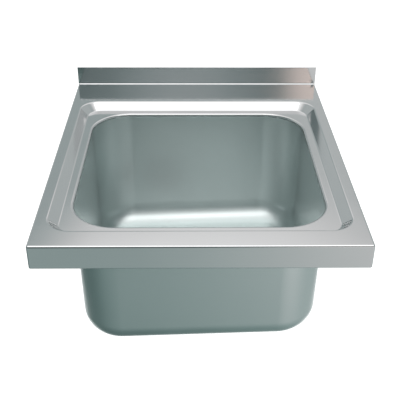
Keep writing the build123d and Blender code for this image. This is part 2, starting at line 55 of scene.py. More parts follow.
# A span's start and end, then, where they aren't 0 and 1, the results before and after it.
Ramp = tuple[float, ...]


class Grain(Enum):
    """Which way the polishing lines of a metal run, as stretches along X, Y and Z."""

    ACROSS = (6.0, 900.0, 900.0)
    UPRIGHT = (900.0, 900.0, 6.0)
    CAST = (260.0, 260.0, 260.0)


class NodeDesk:
    """A node tree, with short ways to add and join its nodes."""

    def __init__(self, tree: NodeTree) -> None:
        """Start on an emptied tree."""
        self.tree = tree
        tree.nodes.clear()

    def put(self, socket: NodeSocket, value: object) -> None:
        """Give an input its value.

        Args:
            socket: The input.
            value: A number, a vector, a colour, or a socket to link it to.
        """
        if isinstance(value, NodeSocket):
            self.tree.links.new(value, socket)
        elif socket.type == "RGBA":
            socket.default_value = (*value, 1.0)
        else:
            socket.default_value = value

    def add(self, kind: str, props: dict | None = None, **inputs: object) -> Node:
        """Add a node.

        Args:
            kind: The node's type name.
            props: Settings of the node itself.
            inputs: Values or sockets for its inputs, with _ for a space in their names.

        Returns:
            The new node.
        """
        node = self.tree.nodes.new(kind)
        for name, value in (props or {}).items():
            setattr(node, name, value)
        for name, value in inputs.items():
            self.put(node.inputs[name.replace("_", " ")], value)
        return node

    def math(self, operation: str, first: object, second: object) -> NodeSocket:
        """Combine two numbers or sockets.

        Args:
            operation: The Math node's operation.
            first: A number or a socket.
            second: A number or a socket.

        Returns:
            The result's socket.
        """
        node = self.add("ShaderNodeMath", {"operation": operation})
        self.put(node.inputs[0], first)
        self.put(node.inputs[1], second)
        return node.outputs[0]

    def plus(self, first: object, second: object) -> NodeSocket:
        """Add two numbers or sockets."""
        return self.math("ADD", first, second)

    def times(self, first: object, second: object) -> NodeSocket:
        """Multiply two numbers or sockets."""
        return self.math("MULTIPLY", first, second)

    def between(self, first: object, second: object, share: NodeSocket) -> NodeSocket:
        """Pass from one level to another as a share goes from 0 to 1."""
        return self.plus(self.times(self.math("SUBTRACT", second, first), share), first)

    def ease(self, value: NodeSocket, ramp: Ramp) -> NodeSocket:
        """Pass smoothly from one number to another as a value crosses a span.

        Args:
            value: The socket that is followed.
            ramp: The span and the results.

        Returns:
            The result's socket.
        """
        smooth = {"interpolation_type": "SMOOTHSTEP"}
        ends = dict(zip(("From_Min", "From_Max", "To_Min", "To_Max"), ramp))
        return self.add("ShaderNodeMapRange", smooth, Value=value, **ends).outputs["Result"]

    def mix(self, share: object, first: object, second: object, blend: str = "MIX") -> NodeSocket:
        """Mix two colours, with a share of the second."""
        kind = {"blend_type": blend}
        return self.add("ShaderNodeMixRGB", kind, Fac=share, Color1=first, Color2=second).outputs["Color"]

    def noise(self, place: NodeSocket, scale: float, detail: float, roughness: float) -> NodeSocket:
        """Soft noise over a place, from 0 to 1."""
        looks = {"Scale": scale, "Detail": detail, "Roughness": roughness}
        return self.add("ShaderNodeTexNoise", Vector=place, **looks).outputs["Fac"]

    def bump(self, height: NodeSocket, depth: float, surface: NodeSocket | None = None) -> NodeSocket:
        """Raise and lower a surface.

        Args:
            height: The height, from 0 to 1.
            depth: The real height at 1.
            surface: The surface's direction so far, where something has bent it.

        Returns:
            The new direction's socket.
        """
        node = self.add("ShaderNodeBump", Strength=1.0, Distance=depth, Height=height)
        if surface is not None:
            self.put(node.inputs["Normal"], surface)
        return node.outputs["Normal"]


class Finish:
    """What every finish shares: a material of its own and a tree to fill."""

    name: str
    roughness: float
    rough_spread: float
    mottle: Span

    def start(self) -> tuple[Material, NodeDesk, Node, NodeSocket]:
        """Make the material with its shader.

        Returns:
            The material, its desk, its shader and the place on the object.
        """
        material = bpy.data.materials.new(self.name)
        material.use_nodes = True
        desk = NodeDesk(material.node_tree)
        shader = desk.add("ShaderNodeBsdfPrincipled")
        desk.add("ShaderNodeOutputMaterial", Surface=shader.outputs[0])
        return material, desk, shader, desk.add("ShaderNodeTexCoord").outputs["Object"]

    def roughen(self) -> Ramp:
        """How rough the surface is over its mottling."""
        return (*self.mottle, self.roughness - self.rough_spread, self.roughness + self.rough_spread)


@dataclass(frozen=True)
class MetalFinish(Finish):
    """Polished or cast metal with fine lines, faint clouding and the slight waves of a rolled sheet."""

    name: str
    colour: Triple
    grain: Grain
    roughness: float
    rough_spread: float
    line_depth: float = 0.0000012
    line_share: float = 0.6
    mottle: Span = (0.3, 0.7)
    cloud_scale: float = 14.0
    clouding: float = 0.03
    wave_scale: float = 5.5
    wave_depth: float = 0.0
    dents: tuple[Triple, ...] = ()
    dent_reach: Span = (0.001, 0.008)
    dent_depth: float = 0.00016

    def dented(self, desk: NodeDesk, place: NodeSocket, surface: NodeSocket) -> NodeSocket:
        """Press the hollows of ground welds into a surface.

        Args:
            desk: The finish's tree.
            place: The place on the object.
            surface: The surface's direction so far.

        Returns:
            The new direction's socket.
        """
        for middle in self.dents:
            away = desk.add("ShaderNodeVectorMath", {"operation": "DISTANCE"})
            desk.put(away.inputs[0], place)
            desk.put(away.inputs[1], middle)
            hollow = desk.ease(away.outputs["Value"], self.dent_reach)
            surface = desk.bump(hollow, self.dent_depth, surface)
        return surface

    def build(self) -> Material:
        """Make the material.

        Returns:
            The material.
        """
        material, desk, shader, place = self.start()
        stretch = desk.add("ShaderNodeMapping", Vector=place, Scale=self.grain.value)
        lines = desk.noise(stretch.outputs["Vector"], scale=1.0, detail=4.0, roughness=0.6)
        clouds = desk.noise(place, self.cloud_scale, detail=3.0, roughness=0.5)
        shades = [tuple(c * (1 + way * self.clouding) for c in self.colour) for way in (-1, 1)]
        desk.put(shader.inputs["Base Color"], desk.mix(clouds, *shades))
        desk.put(shader.inputs["Metallic"], 1.0)

        mixed = desk.plus(desk.times(lines, self.line_share), desk.times(clouds, 1 - self.line_share))
        desk.put(shader.inputs["Roughness"], desk.ease(mixed, self.roughen()))

        waves = None
        if self.wave_depth:
            swell = desk.noise(place, self.wave_scale, detail=1.0, roughness=0.3)
            waves = desk.bump(swell, self.wave_depth)
        fine = desk.bump(lines, self.line_depth, waves)
        desk.put(shader.inputs["Normal"], self.dented(desk, place, fine))
        return material


@dataclass(frozen=True)
class DullFinish(Finish):
    """Rubber, fibre, bitumen or moulded plastic: a mottled colour over a grained skin."""

    name: str
    dark: Triple
    light: Triple
    roughness: float
    fleck_size: float
    grain_depth: float
    shine: float = 0.5
    rough_spread: float = 0.06
    colour_mottle: Span = (0.35, 0.65)
    mottle: Span = (0.3, 0.7)

    def build(self) -> Material:
        """Make the material.

        Returns:
            The material.
        """
        material, desk, shader, place = self.start()
        flecks = desk.noise(place, 1 / self.fleck_size, detail=5.0, roughness=0.6)
        colour = desk.mix(desk.ease(flecks, self.colour_mottle), self.dark, self.light)
        desk.put(shader.inputs["Base Color"], colour)
        desk.put(shader.inputs["Roughness"], desk.ease(flecks, self.roughen()))
        desk.put(shader.inputs["Specular IOR Level"], self.shine)
        desk.put(shader.inputs["Normal"], desk.bump(flecks, self.grain_depth))
        return material


FINISHES: tuple[Finish, ...] = (
    MetalFinish("sheet_steel", (0.755, 0.76, 0.765), Grain.ACROSS, 0.10, 0.02, wave_depth=0.0001,
                dents=((-0.231, 0.289, 0.040), (0.241, 0.2965, 0.043))),
    MetalFinish("bowl_steel", (0.745, 0.80, 0.795), Grain.CAST, 0.36, 0.03, wave_depth=0.0001),
    MetalFinish("frame_steel", (0.56, 0.57, 0.57), Grain.ACROSS, 0.32, 0.06, line_depth=0.000008),
    MetalFinish("plated_nut", (0.60, 0.60, 0.57), Grain.UPRIGHT, 0.30, 0.08),
    MetalFinish("waste_steel", (0.66, 0.67, 0.67), Grain.CAST, 0.17, 0.05),
    MetalFinish("polished_knob", (0.72, 0.72, 0.72), Grain.CAST, 0.08, 0.03),
    MetalFinish("chromed_tube", (0.70, 0.71, 0.72), Grain.UPRIGHT, 0.07, 0.02),
    MetalFinish("cast_zinc", (0.44, 0.45, 0.46), Grain.CAST, 0.46, 0.08, line_depth=0.00008),
    DullFinish("black_rubber", (0.018, 0.018, 0.019), (0.035, 0.035, 0.036), 0.62, 0.004, 0.00002),
    DullFinish("fibre_board", (0.33, 0.20, 0.10), (0.52, 0.36, 0.20), 0.85, 0.0018, 0.00006, shine=0.2),
    DullFinish("grey_plastic", (0.66, 0.66, 0.64), (0.72, 0.72, 0.70), 0.42, 0.012, 0.00001),
    DullFinish("damping_pad", (0.022, 0.022, 0.024), (0.07, 0.07, 0.075), 0.75, 0.003, 0.00015, shine=0.35),
)


@dataclass(frozen=True)
class Outline:
    """A rounded rectangle seen from above, walked anticlockwise with as many points at every size."""

    width: float
    length: float
    corner: float
    middle_y: float
    corner_steps: int = 44
    side_steps: int = 12

    def walk(self) -> list[tuple[Vector, Vector]]:
        """Points of the outline, each with its outward direction, from the right-hand side's back end.

        Returns:
            Pairs of a point and a direction.
        """
        reach_x = self.width / 2 - self.corner
        reach_y = self.length / 2 - self.corner
        centres = [(reach_x, reach_y), (-reach_x, reach_y), (-reach_x, -reach_y), (reach_x, -reach_y)]
        pairs: list[tuple[Vector, Vector]] = []
        for quarter, (x, y) in enumerate(centres):
            for step in range(self.corner_steps + 1):
                turn = math.pi / 2 * (quarter + step / self.corner_steps)
                out = Vector((math.cos(turn), math.sin(turn), 0))
                pairs.append((Vector((x, y + self.middle_y, 0)) + out * self.corner, out))
            here = pairs[-1]
            next_x, next_y = centres[(quarter + 1) % 4]
            there = Vector((next_x, next_y + self.middle_y, 0)) + here[1] * self.corner
            for step in range(1, self.side_steps):
                pairs.append((here[0].lerp(there, step / self.side_steps), here[1]))
        return pairs

    def ring(self, grow: float, height: float) -> list[Vector]:
        """The outline at one height, grown outwards."""
        return [point + out * grow + Vector((0, 0, height)) for point, out in self.walk()]


# The bowl's opening, which the folded top's curled rim and the drawn bowl share.
BOWL_RIM = Outline(402 * MM, 404 * MM, 72 * MM, -25.7 * MM)


def arc(start: float, end: float, steps: int) -> list[float]:
    """Places or angles from start to end in equal steps, both included."""
    return [start + (end - start) * step / steps for step in range(steps + 1)]


def bake(piece: Object) -> None:
    """Give a piece the mesh its modifiers make, and take them off.

    Args:
        piece: The piece.
    """
    view = bpy.context.evaluated_depsgraph_get()
    made = bpy.data.meshes.new_from_object(piece.evaluated_get(view))
    plain = piece.data
    piece.modifiers.clear()
    piece.data = made
    bpy.data.meshes.remove(plain)
    made.name = piece.name


def set_down(name: str, data: ID) -> Object:
    """Put a mesh, a lamp or a camera in the scene.

    Args:
        name: The object's name.
        data: What it shows.

    Returns:
        The object.
    """
    thing = bpy.data.objects.new(name, data)
    bpy.context.scene.collection.objects.link(thing)
    return thing


class Recipe:
    """A Geometry Nodes group with named inputs, which adds shapes to the piece it is laid on."""

    def __init__(self, name: str, sockets: dict[str, str]) -> None:
        """Make the group.

        Args:
            name: The group's name.
            sockets: The kind of each named input.
        """
        self.tree = bpy.data.node_groups.new(name, "GeometryNodeTree")
        face = self.tree.interface
        face.new_socket("Geometry", in_out="OUTPUT", socket_type="NodeSocketGeometry")
        for label, kind in {"Base": "Geometry", **sockets, "Finish": "Material"}.items():
            face.new_socket(label, in_out="INPUT", socket_type=f"NodeSocket{kind}")
        self.desk = NodeDesk(self.tree)
        self.inputs = self.desk.add("NodeGroupInput").outputs

    def close(self, shape: NodeSocket) -> None:
        """Join a shape to the base, and give both real faces and a finish.

        Args:
            shape: The shape's socket.
        """
        desk = self.desk
        joined = desk.add("GeometryNodeJoinGeometry", Geometry=self.inputs["Base"])
        desk.put(joined.inputs[0], shape)
        real = desk.add("GeometryNodeRealizeInstances", Geometry=joined.outputs[0])
        smooth = desk.add("GeometryNodeSetShadeSmooth", Geometry=real.outputs[0])
        finish = desk.add("GeometryNodeSetMaterial", Geometry=smooth.outputs[0])
        desk.put(finish.inputs["Material"], self.inputs["Finish"])
        desk.add("NodeGroupOutput", Geometry=finish.outputs[0])

    def lay(self, piece: Object, values: dict[str, object]) -> None:
        """Add the group to a piece.

        Args:
            piece: The piece.
            values: The named inputs' values.
        """
        modifier = piece.modifiers.new(self.tree.name, "NODES")
        modifier.node_group = self.tree
        for item in self.tree.interface.items_tree:
            if item.in_out == "INPUT" and item.name in values:
                modifier[item.identifier] = values[item.name]


@dataclass
class SheetMesh:
    """A piece bent from sheet, collected as the points and faces of its upper skin."""

    wall: float = 1.2 * MM
    crease: float = math.radians(40)
    points: list[Vector] = field(default_factory=list, init=False)
    faces: list[tuple[int, ...]] = field(default_factory=list, init=False)

    def row(self, points: list[Vector]) -> list[int]:
        """Add points and give their numbers."""
        self.points.extend(points)
        return list(range(len(self.points) - len(points), len(self.points)))

    def rings(self, sections: list[list[Vector]]) -> list[list[int]]:
        """Add a row for each level of sections that stand round a middle."""
        return [self.row(list(level)) for level in zip(*sections)]

    def strip(self, outer: list[int], inner: list[int], closed: bool = False) -> None:
        """Join two rows of as many points with faces.

        Args:
            outer: The row on the outside, walked anticlockwise seen from above.
            inner: The row inside it.
            closed: Whether the rows are rings.
        """
        count = len(outer)
        for step in range(count if closed else count - 1):
            after = (step + 1) % count
            self.faces.append((outer[step], outer[after], inner[after], inner[step]))

    def funnel(self, rings: list[list[int]]) -> None:
        """Join rings with faces, from the outermost in."""
        for outer, inner in zip(rings, rings[1:]):
            self.strip(outer, inner, closed=True)

    def fan(self, corner: int, inner: list[int]) -> None:
        """Join one outer point to a row inside it."""
        for step in range(len(inner) - 1):
            self.faces.append((corner, inner[step + 1], inner[step]))

    def finish(self, name: str, material: Material) -> Object:
        """Make the piece, with its wall on the side away from the faces.

        Args:
            name: The piece's name.
            material: The piece's material.

        Returns:
            The piece.
        """
        mesh = bpy.data.meshes.new(name)
        mesh.from_pydata([tuple(p) for p in self.points], [], self.faces)
        mesh.validate()
        for polygon in mesh.polygons:
            polygon.use_smooth = True
        mesh.materials.append(material)
        piece = set_down(name, mesh)
        solid = piece.modifiers.new("wall", "SOLIDIFY")
        solid.thickness = self.wall
        solid.offset = -1.0
        solid.use_even_offset = True
        solid.use_quality_normals = True
        bake(piece)
        piece.data.set_sharp_from_angle(angle=self.crease)
        weigh = piece.modifiers.new("shading", "WEIGHTED_NORMAL")
        weigh.weight = 100
        weigh.keep_sharp = True
        return piece


@dataclass
class TopSheet(SheetMesh):
    """The folded top: deck, drip recess, bowl rim, aprons with their lips, and the upstand."""

    half_width: float = 250 * MM
    front_y: float = -300 * MM
    apron_height: float = 40 * MM
    edge_bend: float = 3 * MM
    lip_bend: float = 2 * MM
    lip_width: float = 12 * MM
    corner_reach: float = 73 * MM
    skin_back_y: float = 298.5 * MM
    rail_wall: float = 1.5 * MM
    deck_back_y: float = 295.3 * MM
    upstand_bend: float = 2 * MM
    upstand_height: float = 37 * MM
    hem_radius: float = 1.35 * MM
    hem_length: float = 10 * MM
    hem_lead: float = 1 * MM
    recess_depth: float = 14 * MM
    top_bend: float = 5 * MM
    foot_bend: float = 4 * MM
    rim_bend: float = 4 * MM
    rim_drop: float = 6 * MM
    flat_lead: float = 1.5 * MM
    recess: Outline = Outline(461 * MM, 465.5 * MM, 37 * MM, -27.25 * MM)
    ledge: Outline = Outline(434 * MM, 437 * MM, 27 * MM, -27.25 * MM)
    bowl: Outline = BOWL_RIM
    bend_steps: int = 8
    bare_steps: int = 2

    def slope(self, top: Vector, foot: Vector) -> list[Vector]:
        """One section of the recess, from the deck down to the ledge.

        Args:
            top: Where the straight slope would leave the deck.
            foot: Where it would reach the ledge.

        Returns:
            The section's points, from the deck in.
        """
        run = (foot - top).length
        inward = (foot - top) / run
        angle = math.atan2(self.recess_depth, run)
        top_tangent = self.top_bend * math.tan(angle / 2)
        foot_tangent = self.foot_bend * math.tan(angle / 2)
        flat: list[Span] = [(-top_tangent - self.flat_lead, 0.0)]
        for turn in arc(0, angle, self.bend_steps):
            across = -top_tangent + self.top_bend * math.sin(turn)
            flat.append((across, -self.top_bend * (1 - math.cos(turn))))
        for turn in arc(angle, 0, self.bend_steps):
            across = run + foot_tangent - self.foot_bend * math.sin(turn)
            flat.append((across, -self.recess_depth + self.foot_bend * (1 - math.cos(turn))))
        flat.append((run + foot_tangent + self.flat_lead, -self.recess_depth))
        return [top + inward * across + Vector((0, 0, self.apron_height + drop)) for across, drop in flat]

    def recess_rings(self) -> list[list[int]]:
        """Rings from the deck's edge round the recess down to the bowl.

        Returns:
            The rings, from the outermost in.
        """
        pairs = zip(self.recess.walk(), self.ledge.walk())
        rings = self.rings([self.slope(top, foot) for (top, _), (foot, _) in pairs])
        ledge_z = self.apron_height - self.recess_depth
        rings.append(self.row(self.bowl.ring(self.rim_bend + self.flat_lead, ledge_z)))
        for angle in arc(0, math.pi / 2, self.bend_steps):
            grow = self.rim_bend * (1 - math.sin(angle))
            rings.append(self.row(self.bowl.ring(grow, ledge_z - self.rim_bend * (1 - math.cos(angle)))))
        rings.append(self.row(self.bowl.ring(0, ledge_z - self.rim_drop)))
        return rings

    def stations(self, start: float, end: float, first: float, last: float) -> list[float]:
        """Places along one side from start to end, with its lip's first and last place among them."""
        return [start, *arc(first, last, self.recess.side_steps - 2), end]

    def sides(self) -> dict[str, list[Vector]]:
        """The deck's flat outline, side by side, each walked anticlockwise with both ends.

        Returns:
            The back, left, front and right side's points.
        """
        edge_x = self.half_width - self.edge_bend
        front = self.front_y + self.edge_bend
        lip_x = self.half_width - self.wall - self.corner_reach
        lip_front = self.front_y + self.wall + self.corner_reach
        lip_back = self.skin_back_y - self.rail_wall - self.corner_reach
        deck_z = self.apron_height
        across = self.stations(-edge_x, edge_x, -lip_x, lip_x)
        along = self.stations(self.deck_back_y, front, lip_back, lip_front)
        return {
            "back": [Vector((x, self.deck_back_y, deck_z)) for x in reversed(across)],
            "left": [Vector((-edge_x, y, deck_z)) for y in along],
            "front": [Vector((x, front, deck_z)) for x in across],
            "right": [Vector((edge_x, y, deck_z)) for y in reversed(along)],
        }

    def deck(self, recess_edge: list[int]) -> dict[str, list[int]]:
        """The flat deck between the recess and the folded edges.

        Args:
            recess_edge: The ring where the recess starts.

        Returns:
            The numbers of each side's points.
        """
        sides = self.sides()
        rows = {"back": self.row(sides["back"])}
        rows["left"] = [rows["back"][-1], *self.row(sides["left"][1:])]
        rows["front"] = [rows["left"][-1], *self.row(sides["front"][1:])]
        rows["right"] = [rows["front"][-1], *self.row(sides["right"][1:-1]), rows["back"][0]]
        arc_steps = self.recess.corner_steps
        quarter = arc_steps + self.recess.side_steps
        ring = recess_edge + recess_edge[:1]
        for index, row in enumerate(rows.values()):
            start = index * quarter
            self.fan(row[0], ring[start:start + arc_steps + 1])
            self.strip(row, ring[start + arc_steps:start + quarter + 1])
        return rows

    def edge_row(self, grow: float, height: float) -> list[Vector]:
        """The deck's left, front and right edge, grown outwards, with rounded front corners.

        Args:
            grow: How far it is grown from the flat deck's edge.
            height: Its height.

        Returns:
            Its points from the left side's back end to the right side's.
        """
        sides = self.sides()
        points: list[Vector] = []
        for name, turn in (("left", math.pi), ("front", 1.5 * math.pi), ("right", 2 * math.pi)):
            out = Vector((math.cos(turn), math.sin(turn), 0))
            if points:
                corner = sides[name][0]
                for angle in arc(turn - math.pi / 2, turn, self.bend_steps)[1:-1]:
                    points.append(corner + Vector((math.cos(angle), math.sin(angle), 0)) * grow)
            points.extend(point + out * grow for point in sides[name])
        for point in points:
            point.z = height
        return points

    def levels(self) -> list[Span]:
        """The aprons' section below the deck, as growth from its flat edge and height.

        Returns:
            Its points, round the edge, down the apron and in along the lip.
        """
        bend = self.edge_bend
        foot = self.lip_bend
        turns = arc(0, math.pi / 2, self.bend_steps)
        edge = [(bend * math.sin(a), self.apron_height - bend * (1 - math.cos(a))) for a in turns[1:]]
        flat = [(bend, self.apron_height - bend - self.flat_lead), (bend, foot + self.flat_lead)]
        lip = [(bend - foot * (1 - math.cos(a)), foot * (1 - math.sin(a))) for a in turns]
        return [*edge, *flat, *lip, (bend - self.lip_width, 0.0)]

    def aprons(self, rows: dict[str, list[int]]) -> None:
        """The aprons folded down from the deck, and the lips folded in at their feet.

        Between the lips, the corners end partway round the foot's bend.

        Args:
            rows: The numbers of the deck's edge points.
        """
        upper: list[int] = []
        for name in ("left", "front", "right"):
            if upper:
                upper.extend([rows[name][0]] * (self.bend_steps - 1))
            upper.extend(rows[name])
        levels = self.levels()
        corner_levels = len(levels) - 1 - self.bare_steps
        side = self.recess.side_steps + 1
        pitch = side + self.bend_steps - 1
        lipped = {number * pitch + step for number in range(3) for step in range(1, side - 2)}
        tails: list[tuple[int, int]] = []
        for number, (grow, height) in enumerate(levels, start=1):
            lower = self.row(self.edge_row(max(grow, 0.0), height))
            if grow < 0:
                self.pull_in(lower, -grow)
            for step in range(len(lower) - 1):
                if number > corner_levels and step not in lipped:
                    continue
                face = [lower[step], lower[step + 1], upper[step + 1], upper[step]]
                whole = [v for k, v in enumerate(face) if v != face[k - 1]]
                if len(whole) > 2:
                    self.faces.append(tuple(whole))
            # The flat apron and the start of its foot's bend run on behind the deck.
            if grow == self.edge_bend or number <= corner_levels and height < self.apron_height / 2:
                tails.append((lower[0], lower[-1]))
            upper = lower
        self.tail(tails)

    def pull_in(self, row: list[int], inwards: float) -> None:
        """Move a row's side points in from the deck's edge, each at right angles to its side.

        Args:
            row: The row's numbers.
            inwards: How far they go in.
        """
        side = self.recess.side_steps + 1
        pitch = side + self.bend_steps - 1
        for number, inward in enumerate((Vector((1, 0, 0)), Vector((0, 1, 0)), Vector((-1, 0, 0)))):
            for point in row[number * pitch:number * pitch + side]:
                self.points[point] = self.points[point] + inward * inwards

    def tail(self, ends: list[tuple[int, int]]) -> None:
        """Carry both side aprons on behind the deck, up to the back skin.

        Args:
            ends: The last points of each level, left and right, from the top down.
        """
        for side in (0, 1):
            near = [pair[side] for pair in ends]
            far = self.row([Vector((self.points[n].x, self.skin_back_y, self.points[n].z)) for n in near])
            if side == 0:
                self.strip(far, near)
            else:
                self.strip(near, far)

    def upstand(self, back: list[int]) -> None:
        """The upstand, with the sheet folded back on itself along its top.

        Args:
            back: The numbers of the deck's back edge, walked from right to left.
        """
        deck_z = self.apron_height
        bend = self.upstand_bend
        hem = self.hem_radius
        front_y = self.deck_back_y + bend
        middle_y = front_y + hem
        hem_z = deck_z + self.upstand_height - hem
        turns = arc(0, math.pi / 2, self.bend_steps)[1:]
        places = [(self.deck_back_y + bend * math.sin(a), deck_z + bend * (1 - math.cos(a))) for a in turns]
        places += [(front_y, deck_z + bend + self.flat_lead), (front_y, hem_z - self.hem_lead)]
        turns = arc(0, math.pi, 2 * self.bend_steps)
        places += [(middle_y - hem * math.cos(a), hem_z + hem * math.sin(a)) for a in turns]
        places += [(middle_y + hem, hem_z - drop) for drop in (self.hem_lead, self.hem_length)]
        xs = [self.half_width, *[self.points[n].x for n in back], -self.half_width]
        right = self.row([Vector((self.half_width, self.deck_back_y, deck_z))])
        left = self.row([Vector((-self.half_width, self.deck_back_y, deck_z))])
        inner = [*right, *back, *left]
        for y, z in places:
            outer = self.row([Vector((x, y, z)) for x in xs])
            self.strip(outer, inner)
            inner = outer

    def build(self, materials: dict[str, Material]) -> Object:
        """Make the folded top.

        Args:
            materials: The finished materials by slot.

        Returns:
            Its one piece.
        """
        rings = self.recess_rings()
        self.funnel(rings)
        rows = self.deck(rings[0])
        self.aprons(rows)
        self.upstand(rows["back"])
        piece = self.finish("folded_top", materials["sheet_steel"])
        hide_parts("top_sheet")
        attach(piece, "sink")
        return piece


@dataclass
class Bowl(SheetMesh):
    """The deep-drawn bowl, with a falling floor and the level seat pressed into it for the waste."""

    top_z: float = 20 * MM
    rim: Outline = BOWL_RIM
    draft: float = math.radians(1.0)
    floor_z: float = -212.8 * MM
    fall: float = math.radians(2.1)
    foot_bend: float = 39 * MM
    foot_steps: int = 18
    drain_x: float = -80 * MM
    seat_z: float = -223.2335 * MM
    seat_radius: float = 62 * MM
    seat_top_bend: float = 2.7 * MM
    seat_foot_bend: float = 1.5 * MM
    seat_steps: int = 5
    hole_radius: float = 45 * MM
    hole_lead: float = 1.5 * MM
    flat_lead: float = 2 * MM

    def foot(self, floor_at: Span, slope: float) -> list[Span]:
        """The round bend between the wall and the floor, in one upright section.

        Args:
            floor_at: A point on the floor, as distance out from the rim and height.
            slope: How much the floor rises for each unit outwards.

        Returns:
            Points of the bend, from the wall to the floor.
        """
        wall_in = (-math.cos(self.draft), math.sin(self.draft))
        radius = self.foot_bend
        size = math.hypot(slope, 1.0)
        floor_up = (-slope / size, 1 / size)
        wall_sum = wall_in[1] * self.top_z + radius
        floor_sum = floor_up[0] * floor_at[0] + floor_up[1] * floor_at[1] + radius
        cross = wall_in[0] * floor_up[1] - wall_in[1] * floor_up[0]
        out = (wall_sum * floor_up[1] - floor_sum * wall_in[1]) / cross
        height = (wall_in[0] * floor_sum - floor_up[0] * wall_sum) / cross
        start = math.atan2(wall_in[1], wall_in[0])
        end = math.atan2(floor_up[1], floor_up[0])
        turns = arc(start, end, self.foot_steps)
        return [(out - radius * math.cos(a), height - radius * math.sin(a)) for a in turns]

    def basin_rings(self) -> list[list[int]]:
        """Rings down the bowl's wall and round its foot.

        Returns:
            The rings, from the top down.
        """
        lead = self.flat_lead
        sections: list[list[Vector]] = []
        for point, out in self.rim.walk():
            slope = out.x * math.tan(self.fall)
            curve = self.foot((0.0, self.floor_z + point.x * math.tan(self.fall)), slope)
            above = (curve[0][0] + lead * math.sin(self.draft), curve[0][1] + lead)
            inside = (curve[-1][0] - lead, curve[-1][1] - lead * slope)
            flat = [(0.0, self.top_z), above, *curve, inside]
            sections.append([point + out * across + Vector((0, 0, height)) for across, height in flat])
        return self.rings(sections)

    def seat_rings(self, floor_ring: list[int]) -> list[list[int]]:
        """Rings from the floor down into the waste's seat.

        Args:
            floor_ring: The ring where the flat floor starts, whose points they follow.

        Returns:
            The rings, from the outermost in.
        """
        middle = Vector((self.drain_x, self.rim.middle_y, 0))
        drain_floor = self.floor_z + self.drain_x * math.tan(self.fall)
        top, foot = self.seat_top_bend, self.seat_foot_bend
        sections: list[list[Vector]] = []
        for number in floor_ring:
            away = self.points[number] - middle
            away.z = 0
            away.normalize()
            slope = away.x * math.tan(self.fall)
            edge_z = drain_floor + self.seat_radius * slope
            size = math.hypot(slope, 1.0)
            reach = top * (1 + slope / size) + self.flat_lead
            section = [(self.seat_radius + reach, edge_z + slope * reach)]
            centre = self.seat_radius + top
            centre_z = drain_floor + slope * centre - top * size
            for angle in arc(math.pi / 2 + math.atan(slope), math.pi, self.seat_steps):
                section.append((centre + top * math.cos(angle), centre_z + top * math.sin(angle)))
            for angle in arc(0, -math.pi / 2, self.seat_steps):
                across = self.seat_radius - foot + foot * math.cos(angle)
                section.append((across, self.seat_z + foot + foot * math.sin(angle)))
            section += [(self.hole_radius + lead, self.seat_z) for lead in (self.hole_lead, 0.0)]
            sections.append([middle + away * across + Vector((0, 0, height)) for across, height in section])
        return self.rings(sections)

    def build(self, materials: dict[str, Material]) -> Object:
        """Make the bowl.

        Args:
            materials: The finished materials by slot.

        Returns:
            Its one piece.
        """
        rings = self.basin_rings()
        self.funnel(rings + self.seat_rings(rings[-1]))
        piece = self.finish("drawn_bowl", materials["bowl_steel"])
        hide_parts("bowl")
        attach(piece, "sink")
        return piece


@dataclass(frozen=True)
class SpotRow:
    """One row of spot welds on a flange."""

    start: Triple
    end: Triple
    count: int
    facing: Triple


